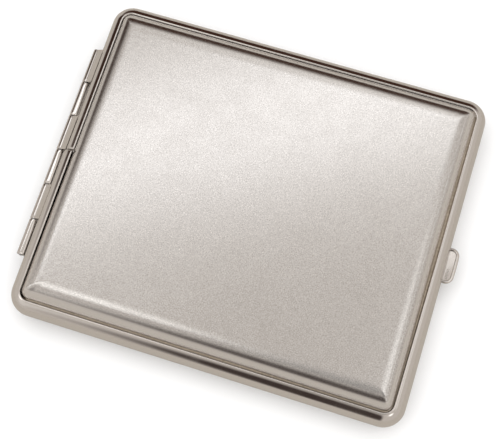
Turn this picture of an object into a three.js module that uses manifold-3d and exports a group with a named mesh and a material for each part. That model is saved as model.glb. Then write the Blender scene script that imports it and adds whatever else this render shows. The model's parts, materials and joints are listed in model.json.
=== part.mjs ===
// A flat pocket cigarette case: two pressed panels in beaded frames, hinged on one side,
// with a sprung thumb catch on the other and an elastic band across the base.
// Millimetres, +Z up. The origin is the middle of the face that the shut case lies on,
// the hinge runs along Y on the -X side and the thumb catch is on the +X side.
import * as THREE from 'three';
import { mergeVertices } from 'three/addons/utils/BufferGeometryUtils.js';
import Module from 'manifold-3d';

const wasm = await Module();
wasm.setup();

// Overall size
const CASE_LENGTH = 95; // hinge side to catch side, across the frames
const CASE_WIDTH = 81; // along the hinge, across the frames
const CASE_THICKNESS = 13; // over both panels
const PARTING_GAP = 0.1; // between the two frames when the case is shut
const SEAT_GAP = 0.3; // between pieces that are soldered, riveted or crimped together

// Frames: a hollow bead rolled from strip, butted together at the middle of the hinge side
const BEAD_WIDTH = 3; // groove to outermost edge
const BEAD_HEIGHT = 3.8; // parting plane to groove
const BEAD_WALL = 0.7;
const LAND_WALL = 0.6; // flat land where the frames meet
const CORNER_RADIUS = 5.2;
const SEAM_GAP = 0.3;
const SPLICE_LENGTH = 10;

// Panels: a pressed sheet with a rolled shoulder and a straight wall inside the frame
const PANEL_WALL = 0.5;
const GROOVE = 0.4; // dark line between bead and panel
const SHOULDER_WIDTH = 3.6;
const WALL_SETBACK = 0.15; // wall edge above the frame's land
const SHARPEST_CORNER = 0.4;

// Hinge
const KNUCKLE_COUNT = 6; // taken in turn by the lid and the base
const KNUCKLE_LENGTH = 9.1;
const KNUCKLE_GAP = 0.2;
const KNUCKLE_RADIUS = 1.1;
const KNUCKLE_CLEARANCE = 0.15; // barrel to bead
const LEAF_HEIGHT = 1.6; // top of the leaf on the bead, from the parting plane
const LEAF_FOOT_ANGLE = THREE.MathUtils.degToRad(20);
const PIN_RADIUS = 0.5;
const PIN_CLEARANCE = 0.12;
const PIN_DOME = 0.25;

// Elastic band and the clips that grip its ends
const BAND_WIDTH = 12;
const BAND_THICKNESS = 0.8;
const BAND_EDGE_RADIUS = 0.3;
const CLIP_WALL = 0.4;
const CLIP_LIP = 2.7;
const CLIP_OVERHANG = 1; // beyond each edge of the band
const CLIP_LIFT = 0.4; // above the pressed corner of the panel

// Thumb catch: a tab outside, a hook inside, on a cross pin in the base frame
const TAB_LENGTH = 8.6;
const TAB_REACH = 2.35; // beyond the frame
const TAB_THICKNESS = 0.9;
const TAB_RIM = 0.7;
const TAB_RECESS = 0.35;
const TAB_CORNER = 1.7;
const TAB_BEVEL = 0.2;
const LEVER_WIDTH = 5;
const ARM_THICKNESS = 0.5;
const NOSE_THICKNESS = 0.4;
const PRESS_ANGLE = THREE.MathUtils.degToRad(7);
const CATCH_PIN_RADIUS = 0.3;
const CATCH_PIN_CLEARANCE = 0.1;
const BARREL_WALL = 0.25;
const BRACKET_WALL = 0.25;
const EAR_WALL = 0.5;
const STRIKE_WALL = 0.4;
const STRIKE_HEIGHT = 2.5;

// Torsion spring on the catch pin
const WIRE_RADIUS = 0.1;
const WIRE_CLEARANCE = 0.12;
const SPRING_TURNS = 3.5;
const SPRING_PITCH = 0.33;
const SPRING_LEG = 0.7;

// Facets
const CORNER_STEPS = 6;
const BEAD_STEPS = 8;
const SHOULDER_STEPS = 6;
const ROUND_STEPS = 24;
const SMALL_ROUND_STEPS = 12;
const DOME_STEPS = 3;
const WIRE_SIDES = 5;
const STEPS_PER_TURN = 10;
const CUT_MARGIN = 0.1; // how far a cut runs past the face that it opens

// Places worked out from those sizes. Offsets run outward from the groove line,
// heights run from the parting plane towards the panel's face.
const PARTING_Z = CASE_THICKNESS / 2;
const GROOVE_X = CASE_LENGTH / 2 - BEAD_WIDTH;
const GROOVE_Y = CASE_WIDTH / 2 - BEAD_WIDTH;
const GROOVE_RADIUS = CORNER_RADIUS - BEAD_WIDTH;
const LAND_FACE = PARTING_GAP / 2;
const LAND_INNER_FACE = LAND_FACE + LAND_WALL;
const WALL_OUTSIDE = -GROOVE;
const WALL_INSIDE = WALL_OUTSIDE - PANEL_WALL;
const FIELD_OFFSET = WALL_OUTSIDE - SHOULDER_WIDTH;
const FIELD_OUTSIDE = PARTING_Z;
const FIELD_INSIDE = FIELD_OUTSIDE - PANEL_WALL;
const BARREL_RADIUS = CATCH_PIN_RADIUS + CATCH_PIN_CLEARANCE + BARREL_WALL;
const NOSE_TIP = WALL_OUTSIDE + SEAT_GAP;
const PIVOT_OFFSET = NOSE_TIP + BRACKET_WALL + CATCH_PIN_CLEARANCE * 2 + BARREL_RADIUS;
const TAB_TOP = -LAND_FACE;
const TAB_BOTTOM = TAB_TOP - TAB_THICKNESS;
const PIVOT_HEIGHT = TAB_BOTTOM - SEAT_GAP - BARREL_RADIUS;
const LEDGE_BOTTOM = LAND_INNER_FACE;
const LEDGE_TOP = LEDGE_BOTTOM + STRIKE_WALL;
const NOSE_BOTTOM = LEDGE_TOP + SEAT_GAP;
const NOSE_TOP = NOSE_BOTTOM + NOSE_THICKNESS;
const ARM_OUTSIDE = PIVOT_OFFSET + ARM_THICKNESS / 2;
const HOOK_SWING = (NOSE_TOP - PIVOT_HEIGHT) * Math.sin(PRESS_ANGLE);
const NOTCH_HALF = LEVER_WIDTH / 2 + SEAT_GAP;
const EAR_HALF = NOTCH_HALF + EAR_WALL;

const satinNickel = { color: 0xc4beb8, roughness: 0.42, metalness: 1 };
const polishedNickel = { color: 0xcbc5be, roughness: 0.12, metalness: 1 };
const springSteel = { color: 0x9a9a9c, roughness: 0.3, metalness: 1 };
const wovenElastic = { color: 0xb59a62, roughness: 0.85, metalness: 0 };

function named(name, geometry, look) {
  const mesh = new THREE.Mesh(geometry, new THREE.MeshStandardMaterial(look));
  mesh.name = name;
  return mesh;
}

function toSolid(geometry) {
  const bare = geometry.clone();
  bare.deleteAttribute('normal');
  bare.deleteAttribute('uv');
  const merged = mergeVertices(bare);
  return new wasm.Manifold(new wasm.Mesh({
    numProp: 3,
    vertProperties: merged.attributes.position.array,
    triVerts: new Uint32Array(merged.index.array),
  }));
}

function toGeometry(solid) {
  const mesh = solid.getMesh();
  const geometry = new THREE.BufferGeometry();
  geometry.setAttribute('position', new THREE.BufferAttribute(mesh.vertProperties, 3));
  geometry.setIndex(new THREE.BufferAttribute(mesh.triVerts, 1));
  geometry.computeVertexNormals();
  return geometry;
}

function join(geometries) {
  return geometries.map(toSolid).reduce((whole, piece) => whole.add(piece));
}

function cut(geometry, cutters) {
  const solid = cutters.map(toSolid).reduce((left, piece) => left.subtract(piece), toSolid(geometry));
  return toGeometry(solid);
}

// A block given by its lowest and highest corners
function block(low, high) {
  const box = new THREE.Box3(new THREE.Vector3(...low), new THREE.Vector3(...high));
  const size = box.getSize(new THREE.Vector3());
  const middle = box.getCenter(new THREE.Vector3());
  return new THREE.BoxGeometry(size.x, size.y, size.z).translate(middle.x, middle.y, middle.z);
}

// A block on the catch side, given by offsets from the groove, half its width and heights
function sideBlock(inner, outer, halfWidth, bottom, top) {
  return block([GROOVE_X + inner, -halfWidth, bottom], [GROOVE_X + outer, halfWidth, top]);
}

// A rod along Y
function rod(radius, length, x, y, z, steps) {
  return new THREE.CylinderGeometry(radius, radius, length, steps).translate(x, y, z);
}

// A shape drawn in X and Z, carried along Y from one place to another
function extrudeAlongY(shape, from, to) {
  const geometry = new THREE.ExtrudeGeometry(shape, {
    depth: to - from,
    bevelEnabled: false,
    curveSegments: SMALL_ROUND_STEPS,
  });
  return geometry.rotateX(Math.PI / 2).translate(0, to, 0);
}

// The rounded rectangle that lies a given offset outside the groove line
function outline(offset) {
  const radius = Math.max(GROOVE_RADIUS + offset, SHARPEST_CORNER);
  const farX = GROOVE_X + offset - radius;
  const farY = GROOVE_Y + offset - radius;
  const centres = [[farX, farY], [-farX, farY], [-farX, -farY], [farX, -farY]];
  return centres.flatMap(([x, y], corner) => {
    const points = [];
    for (let step = 0; step <= CORNER_STEPS; step += 1) {
      const angle = (corner + step / CORNER_STEPS) * Math.PI / 2;
      points.push(new THREE.Vector2(x + radius * Math.cos(angle), y + radius * Math.sin(angle)));
    }
    return points;
  });
}

// Carries a section of offsets and heights round the outline. A closed section makes a ring,
// an open one is finished by a flat field at each end.
function sweepRound(section, closed) {
  const rings = section.map((point) => outline(point.x).map((place) => [place.x, place.y, point.y]));
  const count = rings[0].length;
  const indices = [];
  const links = closed ? rings.length : rings.length - 1;
  for (let ring = 0; ring < links; ring += 1) {
    const here = ring * count;
    const there = ((ring + 1) % rings.length) * count;
    for (let place = 0; place < count; place += 1) {
      const next = (place + 1) % count;
      indices.push(here + place, here + next, there + next);
      indices.push(here + place, there + next, there + place);
    }
  }
  if (!closed) {
    const last = (rings.length - 1) * count;
    THREE.ShapeUtils.triangulateShape(outline(section.at(-1).x), []).forEach(([a, b, c]) => {
      indices.push(last + a, last + b, last + c);
      indices.push(a, c, b);
    });
  }
  const geometry = new THREE.BufferGeometry();
  geometry.setAttribute('position', new THREE.Float32BufferAttribute(rings.flat(2), 3));
  geometry.setIndex(indices);
  geometry.computeVertexNormals();
  return geometry;
}

// Points of a quarter ellipse between two angles
function quarterArc(centreX, centreY, radiusX, radiusY, from, to, steps) {
  const curve = new THREE.EllipseCurve(centreX, centreY, radiusX, radiusY, from, to, to < from);
  return curve.getPoints(steps);
}

// How far the outside of the bead reaches at a height
function beadReach(height) {
  return BEAD_WIDTH * Math.sqrt(1 - (height / BEAD_HEIGHT) ** 2);
}

// The hollow bead: a quarter ellipse outside, the same less its wall inside, on a flat land
function frameRing() {
  const innerWidth = BEAD_WIDTH - BEAD_WALL;
  const innerHeight = BEAD_HEIGHT - BEAD_WALL;
  const outerStart = Math.asin(LAND_FACE / BEAD_HEIGHT);
  const innerEnd = Math.asin(LAND_INNER_FACE / innerHeight);
  const section = [
    new THREE.Vector2(0, LAND_FACE),
    ...quarterArc(0, 0, BEAD_WIDTH, BEAD_HEIGHT, outerStart, Math.PI / 2, BEAD_STEPS),
    ...quarterArc(0, 0, innerWidth, innerHeight, Math.PI / 2, innerEnd, BEAD_STEPS),
    new THREE.Vector2(0, LAND_INNER_FACE),
  ];
  return sweepRound(section, true);
}

// The butt seam of the strip, at the middle of the hinge side
function seamCut() {
  return block(
    [-CASE_LENGTH / 2 - CUT_MARGIN, -SEAM_GAP / 2, 0],
    [-GROOVE_X + CUT_MARGIN, SEAM_GAP / 2, BEAD_HEIGHT + CUT_MARGIN],
  );
}

// A bar inside the bead that keeps the two ends of the strip in line
function spliceBar() {
  const width = BEAD_WIDTH - BEAD_WALL - SEAT_GAP;
  const height = BEAD_HEIGHT - BEAD_WALL - SEAT_GAP;
  const foot = LAND_INNER_FACE + SEAT_GAP;
  const arc = quarterArc(0, 0, width, height, Math.asin(foot / height), Math.PI / 2, BEAD_STEPS);
  const shape = new THREE.Shape([new THREE.Vector2(0, foot), ...arc]);
  return extrudeAlongY(shape, -SPLICE_LENGTH / 2, SPLICE_LENGTH / 2).rotateZ(Math.PI).translate(-GROOVE_X, 0, 0);
}

// The pressed panel: inside face and wall, then the wall's edge, then the outside
function panelTray() {
  const edge = LAND_FACE + WALL_SETBACK;
  const innerShoulder = quarterArc(
    FIELD_OFFSET, BEAD_HEIGHT,
    SHOULDER_WIDTH - PANEL_WALL, FIELD_INSIDE - BEAD_HEIGHT,
    Math.PI / 2, 0, SHOULDER_STEPS,
  );
  const outerShoulder = quarterArc(
    FIELD_OFFSET, BEAD_HEIGHT,
    SHOULDER_WIDTH, FIELD_OUTSIDE - BEAD_HEIGHT,
    0, Math.PI / 2, SHOULDER_STEPS,
  );
  const section = [
    ...innerShoulder,
    new THREE.Vector2(WALL_INSIDE, edge),
    new THREE.Vector2(WALL_OUTSIDE, edge),
    ...outerShoulder,
  ];
  return sweepRound(section, false);
}

// Height of the panel's inside face at an offset in its rolled shoulder
function panelDepth(offset) {
  const share = (offset - FIELD_OFFSET) / (SHOULDER_WIDTH - PANEL_WALL);
  return BEAD_HEIGHT + (FIELD_INSIDE - BEAD_HEIGHT) * Math.sqrt(1 - share ** 2);
}

// A rolled knuckle whose leaf lies up the side of its own frame
function knuckle(from, to) {
  const axisOffset = BEAD_WIDTH + KNUCKLE_CLEARANCE + KNUCKLE_RADIUS;
  const leafReach = axisOffset - beadReach(LEAF_HEIGHT) - SEAT_GAP;
  const shape = new THREE.Shape();
  shape.moveTo(0, KNUCKLE_RADIUS);
  shape.absarc(0, 0, KNUCKLE_RADIUS, Math.PI / 2, 2 * Math.PI + LEAF_FOOT_ANGLE, false);
  shape.lineTo(leafReach, LEAF_HEIGHT);
  shape.closePath();
  const barrel = extrudeAlongY(shape, from, to);
  const boreLength = KNUCKLE_LENGTH + CUT_MARGIN;
  const bore = rod(PIN_RADIUS + PIN_CLEARANCE, boreLength, 0, (from + to) / 2, 0, ROUND_STEPS);
  return cut(barrel, [bore]).translate(-GROOVE_X - axisOffset, 0, 0);
}

// One half of the case in its own frame, parting plane down and panel up
function half(name, frame, panel, firstKnuckle) {
  const group = new THREE.Group();
  group.add(named(`${name}_frame`, frame, polishedNickel));
  group.add(named(`${name}_frame_splice`, spliceBar(), polishedNickel));
  group.add(named(`${name}_panel`, panel, satinNickel));
  const top = KNUCKLE_COUNT * KNUCKLE_LENGTH / 2;
  for (let place = firstKnuckle; place < KNUCKLE_COUNT; place += 2) {
    const to = top - place * KNUCKLE_LENGTH - KNUCKLE_GAP / 2;
    const from = to - KNUCKLE_LENGTH + KNUCKLE_GAP;
    const number = (place - firstKnuckle) / 2 + 1;
    group.add(named(`${name}_knuckle_${number}`, knuckle(from, to), polishedNickel));
  }
  return group;
}

// The lid, with a pocket for the hook and a notch in the panel's wall for the strike
function lidHalf() {
  const pocketOutside = ARM_OUTSIDE + HOOK_SWING + SEAT_GAP;
  const pocketTop = NOSE_TOP + SEAT_GAP;
  const hookPocket = sideBlock(-CUT_MARGIN, pocketOutside, NOTCH_HALF, 0, pocketTop);
  const strikeNotch = sideBlock(
    WALL_INSIDE - CUT_MARGIN, WALL_OUTSIDE + CUT_MARGIN, NOTCH_HALF, 0, pocketTop,
  );
  const frame = cut(frameRing(), [seamCut(), hookPocket]);
  const panel = cut(panelTray(), [strikeNotch]);
  const lid = half('lid', frame, panel, 0);
  lid.add(named('catch_strike', strike(), polishedNickel));
  lid.position.z = PARTING_Z;
  return lid;
}

// The base is the same half turned over, with a pocket for the pivot and a notch for the lever
function baseHalf() {
  const pocketRadius = BARREL_RADIUS + SEAT_GAP;
  const pocketHalf = EAR_HALF + SEAT_GAP;
  const pivotDepth = -PIVOT_HEIGHT;
  const pivotPocket = sideBlock(-CUT_MARGIN, PIVOT_OFFSET + pocketRadius, pocketHalf, 0, pivotDepth);
  const barrelPocket = rod(
    pocketRadius, pocketHalf * 2, GROOVE_X + PIVOT_OFFSET, 0, pivotDepth, ROUND_STEPS,
  );
  const dip = (BEAD_WIDTH - PIVOT_OFFSET) * Math.sin(PRESS_ANGLE);
  const leverNotch = sideBlock(0, BEAD_WIDTH + CUT_MARGIN, NOTCH_HALF, 0, dip + SEAT_GAP - TAB_BOTTOM);
  const frame = cut(frameRing(), [seamCut(), pivotPocket, barrelPocket, leverNotch]);
  const base = half('base', frame, panelTray(), KNUCKLE_COUNT % 2);
  base.rotation.x = Math.PI;
  base.position.z = PARTING_Z;
  return base;
}

// The keeper on the lid: a plate on the panel's wall with a ledge through the wall's notch
function strike() {
  const plateOutside = WALL_INSIDE - SEAT_GAP;
  const plateInside = plateOutside - STRIKE_WALL;
  const shape = new THREE.Shape();
  shape.moveTo(plateInside, LEDGE_BOTTOM);
  shape.lineTo(WALL_OUTSIDE, LEDGE_BOTTOM);
  shape.lineTo(WALL_OUTSIDE, LEDGE_TOP);
  shape.lineTo(plateOutside, LEDGE_TOP);
  shape.lineTo(plateOutside, LEDGE_BOTTOM + STRIKE_HEIGHT);
  shape.lineTo(plateInside, LEDGE_BOTTOM + STRIKE_HEIGHT);
  shape.closePath();
  return extrudeAlongY(shape, -LEVER_WIDTH / 2, LEVER_WIDTH / 2).translate(GROOVE_X, 0, 0);
}

// The hinge pin, domed at both ends
function hingePin() {
  const reach = KNUCKLE_COUNT * KNUCKLE_LENGTH / 2 - KNUCKLE_GAP / 2;
  const dome = quarterArc(0, reach, PIN_RADIUS, PIN_DOME, 0, Math.PI / 2, DOME_STEPS);
  const foot = dome.map((point) => new THREE.Vector2(point.x, -point.y)).reverse();
  const profile = [...foot, ...dome];
  profile[0].x = 0;
  profile.at(-1).x = 0;
  const axisX = -GROOVE_X - BEAD_WIDTH - KNUCKLE_CLEARANCE - KNUCKLE_RADIUS;
  const geometry = new THREE.LatheGeometry(profile, SMALL_ROUND_STEPS).translate(axisX, 0, PARTING_Z);
  return named('hinge_pin', geometry, springSteel);
}

// The band lies along the hinge, with a crimped clip on the panel's wall at each end
function bandPieces() {
  const group = new THREE.Group();
  const back = GROOVE_Y + WALL_INSIDE - SEAT_GAP;
  const bottom = PARTING_Z - panelDepth(WALL_INSIDE - SEAT_GAP) + CLIP_LIFT;
  const bandBottom = bottom + CLIP_WALL + SEAT_GAP;
  const bandTop = bandBottom + BAND_THICKNESS;
  const top = bandTop + SEAT_GAP + CLIP_WALL;
  const inside = back - CLIP_WALL;
  const mouth = back - CLIP_LIP;
  const shape = new THREE.Shape();
  shape.moveTo(mouth, bottom);
  shape.lineTo(back, bottom);
  shape.lineTo(back, top);
  shape.lineTo(mouth, top);
  shape.lineTo(mouth, top - CLIP_WALL);
  shape.lineTo(inside, top - CLIP_WALL);
  shape.lineTo(inside, bottom + CLIP_WALL);
  shape.lineTo(mouth, bottom + CLIP_WALL);
  shape.closePath();
  const clipHalf = BAND_WIDTH / 2 + CLIP_OVERHANG;
  [Math.PI / 2, -Math.PI / 2].forEach((turn, index) => {
    const clip = extrudeAlongY(shape, -clipHalf, clipHalf).rotateZ(turn);
    group.add(named(`band_clip_${index + 1}`, clip, polishedNickel));
  });
  const bandHalf = BAND_WIDTH / 2;
  const section = new THREE.Shape();
  const low = bandBottom + BAND_EDGE_RADIUS;
  const high = bandTop - BAND_EDGE_RADIUS;
  const far = bandHalf - BAND_EDGE_RADIUS;
  section.absarc(far, low, BAND_EDGE_RADIUS, -Math.PI / 2, 0, false);
  section.absarc(far, high, BAND_EDGE_RADIUS, 0, Math.PI / 2, false);
  section.absarc(-far, high, BAND_EDGE_RADIUS, Math.PI / 2, Math.PI, false);
  section.absarc(-far, low, BAND_EDGE_RADIUS, Math.PI, 1.5 * Math.PI, false);
  section.closePath();
  const end = inside - SEAT_GAP;
  group.add(named('elastic_band', extrudeAlongY(section, -end, end), wovenElastic));
  return group;
}

// The D-shaped outline of the thumb tab, drawn in by an inset on its three free sides
function tabShape(inner, inset) {
  const outer = GROOVE_X + BEAD_WIDTH + TAB_REACH - inset;
  const halfLength = TAB_LENGTH / 2 - inset;
  const radius = Math.min(TAB_CORNER - inset, outer - inner, halfLength);
  const shape = new THREE.Shape();
  shape.moveTo(inner, -halfLength);
  shape.absarc(outer - radius, -halfLength + radius, radius, -Math.PI / 2, 0, false);
  shape.absarc(outer - radius, halfLength - radius, radius, 0, Math.PI / 2, false);
  shape.lineTo(inner, halfLength);
  shape.closePath();
  return shape;
}

// The bore for the catch pin, through the lever and the bracket's ears
function catchBore() {
  const length = (EAR_HALF + CUT_MARGIN) * 2;
  const radius = CATCH_PIN_RADIUS + CATCH_PIN_CLEARANCE;
  return rod(radius, length, GROOVE_X + PIVOT_OFFSET, 0, PIVOT_HEIGHT, ROUND_STEPS);
}

// The lever: thumb tab, neck, arm, hook nose and the barrel on the pin
function thumbCatch(barrelEnd) {
  const halfWidth = LEVER_WIDTH / 2;
  const tabInner = GROOVE_X + BEAD_WIDTH + SEAT_GAP;
  const tab = new THREE.ExtrudeGeometry(tabShape(tabInner + TAB_BEVEL, TAB_BEVEL), {
    depth: TAB_THICKNESS - 2 * TAB_BEVEL,
    bevelSize: TAB_BEVEL,
    bevelThickness: TAB_BEVEL,
    bevelSegments: 2,
    curveSegments: SMALL_ROUND_STEPS / 2,
  }).translate(0, 0, TAB_BOTTOM + TAB_BEVEL);
  const recess = new THREE.ExtrudeGeometry(tabShape(tabInner - CUT_MARGIN, TAB_RIM), {
    depth: TAB_RECESS + CUT_MARGIN,
    bevelEnabled: false,
    curveSegments: SMALL_ROUND_STEPS / 2,
  }).translate(0, 0, TAB_TOP - TAB_RECESS);
  const neckTop = TAB_TOP - TAB_RECESS;
  const neck = sideBlock(PIVOT_OFFSET, BEAD_WIDTH + SEAT_GAP + TAB_RIM, halfWidth, TAB_BOTTOM, neckTop);
  const armInside = PIVOT_OFFSET - ARM_THICKNESS / 2;
  const arm = sideBlock(armInside, ARM_OUTSIDE, halfWidth, TAB_BOTTOM, NOSE_TOP);
  const nose = sideBlock(NOSE_TIP, ARM_OUTSIDE, halfWidth, NOSE_BOTTOM, NOSE_TOP);
  const root = block(
    [GROOVE_X + armInside, -halfWidth, PIVOT_HEIGHT],
    [GROOVE_X + ARM_OUTSIDE, barrelEnd, TAB_BOTTOM + TAB_BEVEL],
  );
  const pivotX = GROOVE_X + PIVOT_OFFSET;
  const barrelMiddle = (barrelEnd - halfWidth) / 2;
  const barrelLength = barrelEnd + halfWidth;
  const barrel = rod(BARREL_RADIUS, barrelLength, pivotX, barrelMiddle, PIVOT_HEIGHT, ROUND_STEPS);
  const lever = join([tab, neck, arm, nose, root, barrel]);
  return toGeometry(lever.subtract(toSolid(recess)).subtract(toSolid(catchBore())));
}

// Two ears on a back plate, which carry the catch pin
function catchBracket() {
  const pivotX = GROOVE_X + PIVOT_OFFSET;
  const top = TAB_BOTTOM;
  const bottom = PIVOT_HEIGHT - BARREL_RADIUS;
  const earShape = new THREE.Shape();
  earShape.moveTo(GROOVE_X + NOSE_TIP, bottom);
  earShape.absarc(pivotX, PIVOT_HEIGHT, BARREL_RADIUS, -Math.PI / 2, 0, false);
  earShape.lineTo(pivotX + BARREL_RADIUS, top);
  earShape.lineTo(GROOVE_X + NOSE_TIP, top);
  earShape.closePath();
  const nearEar = extrudeAlongY(earShape, -EAR_HALF, -NOTCH_HALF);
  const farEar = extrudeAlongY(earShape, NOTCH_HALF, EAR_HALF);
  const back = sideBlock(NOSE_TIP, NOSE_TIP + BRACKET_WALL, EAR_HALF, bottom, top);
  const bracket = join([nearEar, farEar, back]);
  return toGeometry(bracket.subtract(toSolid(catchBore())));
}

// The torsion spring: a leg on the frame, the turns, and a leg under the lever's neck
function catchSpring(firstTurn) {
  const radius = CATCH_PIN_RADIUS + WIRE_CLEARANCE + WIRE_RADIUS;
  const pivotX = GROOVE_X + PIVOT_OFFSET;
  const steps = SPRING_TURNS * STEPS_PER_TURN;
  const points = [new THREE.Vector3(pivotX + SPRING_LEG, firstTurn, PIVOT_HEIGHT - radius)];
  for (let step = 0; step <= steps; step += 1) {
    const turned = step / STEPS_PER_TURN;
    const angle = -Math.PI / 2 - turned * 2 * Math.PI;
    points.push(new THREE.Vector3(
      pivotX + radius * Math.cos(angle),
      firstTurn + turned * SPRING_PITCH,
      PIVOT_HEIGHT + radius * Math.sin(angle),
    ));
  }
  const lastTurn = firstTurn + SPRING_TURNS * SPRING_PITCH;
  points.push(new THREE.Vector3(pivotX + SPRING_LEG, lastTurn, PIVOT_HEIGHT + radius));
  const wire = new THREE.Shape();
  for (let side = 0; side < WIRE_SIDES; side += 1) {
    const angle = side / WIRE_SIDES * 2 * Math.PI;
    const corner = [WIRE_RADIUS * Math.cos(angle), WIRE_RADIUS * Math.sin(angle)];
    if (side === 0) {
      wire.moveTo(...corner);
    } else {
      wire.lineTo(...corner);
    }
  }
  wire.closePath();
  const path = new THREE.CatmullRomCurve3(points, false, 'centripetal');
  return new THREE.ExtrudeGeometry(wire, { steps: points.length * 2, extrudePath: path });
}

// The catch in its place on the parting plane
function catchPieces() {
  const springRoom = SPRING_TURNS * SPRING_PITCH + 2 * WIRE_RADIUS;
  const firstTurn = NOTCH_HALF - CATCH_PIN_CLEARANCE - springRoom + WIRE_RADIUS;
  const barrelEnd = firstTurn - WIRE_RADIUS - CATCH_PIN_CLEARANCE;
  const pin = rod(
    CATCH_PIN_RADIUS, (EAR_HALF + CUT_MARGIN) * 2,
    GROOVE_X + PIVOT_OFFSET, 0, PIVOT_HEIGHT, SMALL_ROUND_STEPS,
  );
  const group = new THREE.Group();
  group.add(named('thumb_catch', thumbCatch(barrelEnd), polishedNickel));
  group.add(named('catch_bracket', catchBracket(), polishedNickel));
  group.add(named('catch_pin', pin, springSteel));
  group.add(named('catch_spring', catchSpring(firstTurn), springSteel));
  group.position.z = PARTING_Z;
  return group;
}

const cigaretteCase = new THREE.Group();
cigaretteCase.add(lidHalf());
cigaretteCase.add(baseHalf());
cigaretteCase.add(hingePin());
cigaretteCase.add(bandPieces());
cigaretteCase.add(catchPieces());

export default cigaretteCase;
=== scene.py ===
# %% [markdown]
# A flat pocket case for cigarettes, shut and seen from above. Two pressed halves, each a satin panel
# in a polished beaded frame, turn on a barrel hinge, and a thumb catch holds them shut.
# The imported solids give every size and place. The script reads them once, and then works out each
# visible piece as a smooth surface in the same frame, in metres.

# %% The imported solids
import json
import math

import bmesh
import bpy
import numpy as np
from mathutils import Matrix, Vector


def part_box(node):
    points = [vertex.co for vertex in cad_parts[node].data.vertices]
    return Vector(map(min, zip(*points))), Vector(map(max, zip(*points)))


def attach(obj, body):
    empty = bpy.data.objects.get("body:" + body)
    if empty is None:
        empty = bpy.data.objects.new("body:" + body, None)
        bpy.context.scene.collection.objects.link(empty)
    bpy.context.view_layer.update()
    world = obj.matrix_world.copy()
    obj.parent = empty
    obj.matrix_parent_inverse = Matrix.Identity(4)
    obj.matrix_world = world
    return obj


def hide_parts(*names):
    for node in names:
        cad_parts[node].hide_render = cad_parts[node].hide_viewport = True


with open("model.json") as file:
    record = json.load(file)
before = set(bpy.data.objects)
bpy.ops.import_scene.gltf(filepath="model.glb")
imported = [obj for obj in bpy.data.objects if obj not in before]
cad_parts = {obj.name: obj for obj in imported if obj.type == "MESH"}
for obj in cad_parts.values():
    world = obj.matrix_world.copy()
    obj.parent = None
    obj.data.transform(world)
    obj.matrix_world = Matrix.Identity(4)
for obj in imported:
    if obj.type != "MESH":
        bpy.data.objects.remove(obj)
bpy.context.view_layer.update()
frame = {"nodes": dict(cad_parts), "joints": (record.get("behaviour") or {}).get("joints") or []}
hinge, pivot = [joint["pos_m"] for joint in frame["joints"]]
MM = 0.001

# %% [markdown]
# The camera comes first, because every later choice is judged through it. It looks down on the lid from
# the near right. Three things fix it: the spot where it stands, the point that it aims at, and
# the direction on the table that runs level to the right in the picture.

# %% Camera
CAMERA_SPOT = Vector((29.96, -65.13, 255.13)) * MM
CAMERA_AIM = Vector((1.343, -4.682, 13.0)) * MM
PICTURE_TURN = math.radians(17.1)
CAMERA_LENS = 78.43
SENSOR_WIDTH = 36.0
NEAREST_SEEN = 10 * MM

ahead = (CAMERA_AIM - CAMERA_SPOT).normalized()
level = Vector((math.cos(PICTURE_TURN), math.sin(PICTURE_TURN), 0))
to_right = (level - ahead * level.dot(ahead)).normalized()
upwards = to_right.cross(ahead)
camera_data = bpy.data.cameras.new("camera")
camera_data.lens = CAMERA_LENS
camera_data.sensor_width = SENSOR_WIDTH
camera_data.sensor_fit = "HORIZONTAL"
camera_data.clip_start = NEAREST_SEEN
camera = bpy.data.objects.new("camera", camera_data)
camera_turn = Matrix((to_right, upwards, -ahead)).transposed()
camera.matrix_world = Matrix.Translation(CAMERA_SPOT) @ camera_turn.to_4x4()
bpy.context.scene.collection.objects.link(camera)
bpy.context.scene.camera = camera
print("camera", [round(value, 3) for value in camera.location])

# %% [markdown]
# Materials and the studio are built from nodes. A few small helpers keep that readable: they put a node
# into a tree and join its inputs, give the nodes that are needed often, and start a material or a shared
# node group with named sockets.

# %% Node helpers
def feed(tree, node, inputs):
    """Sets inputs of a node. Each is given by name or number, as a value or as the socket that feeds it."""
    for name, value in inputs.items():
        if isinstance(value, bpy.types.NodeSocket):
            tree.links.new(value, node.inputs[name])
        else:
            node.inputs[name].default_value = value


def put(tree, kind, inputs=None, **settings):
    """Adds a node with its settings and inputs."""
    made = tree.nodes.new(kind)
    for name, value in settings.items():
        setattr(made, name, value)
    feed(tree, made, inputs or {})
    return made


def math_node(tree, operation, first, second=0.0):
    """The value socket of one sum, product or other operation of one or two values."""
    return put(tree, "ShaderNodeMath", {0: first, 1: second}, operation=operation).outputs[0]


def spread(tree, value, low, high, to_low, to_high):
    """A value moved from one range to another along a smooth step."""
    moved = put(
        tree, "ShaderNodeMapRange",
        {"Value": value, "From Min": low, "From Max": high, "To Min": to_low, "To Max": to_high},
        interpolation_type="SMOOTHSTEP",
    )
    return moved.outputs["Result"]


def blend_colour(tree, share, first, second):
    """A colour between two others."""
    mixed = put(tree, "ShaderNodeMix", {0: share, 6: first, 7: second}, data_type="RGBA")
    return mixed.outputs[2]


def object_place(tree):
    """The socket of the place on the piece, in metres."""
    return put(tree, "ShaderNodeTexCoord").outputs["Object"]


def noise(tree, place, scale, detail):
    """The value socket of a noise, with a number of finer layers."""
    made = put(tree, "ShaderNodeTexNoise", {"Vector": place, "Scale": scale, "Detail": detail})
    return made.outputs["Fac"]


def new_material(name):
    """A material with its tree and its shader."""
    material = bpy.data.materials.new(name)
    material.use_nodes = True
    return material, material.node_tree, material.node_tree.nodes["Principled BSDF"]


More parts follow.
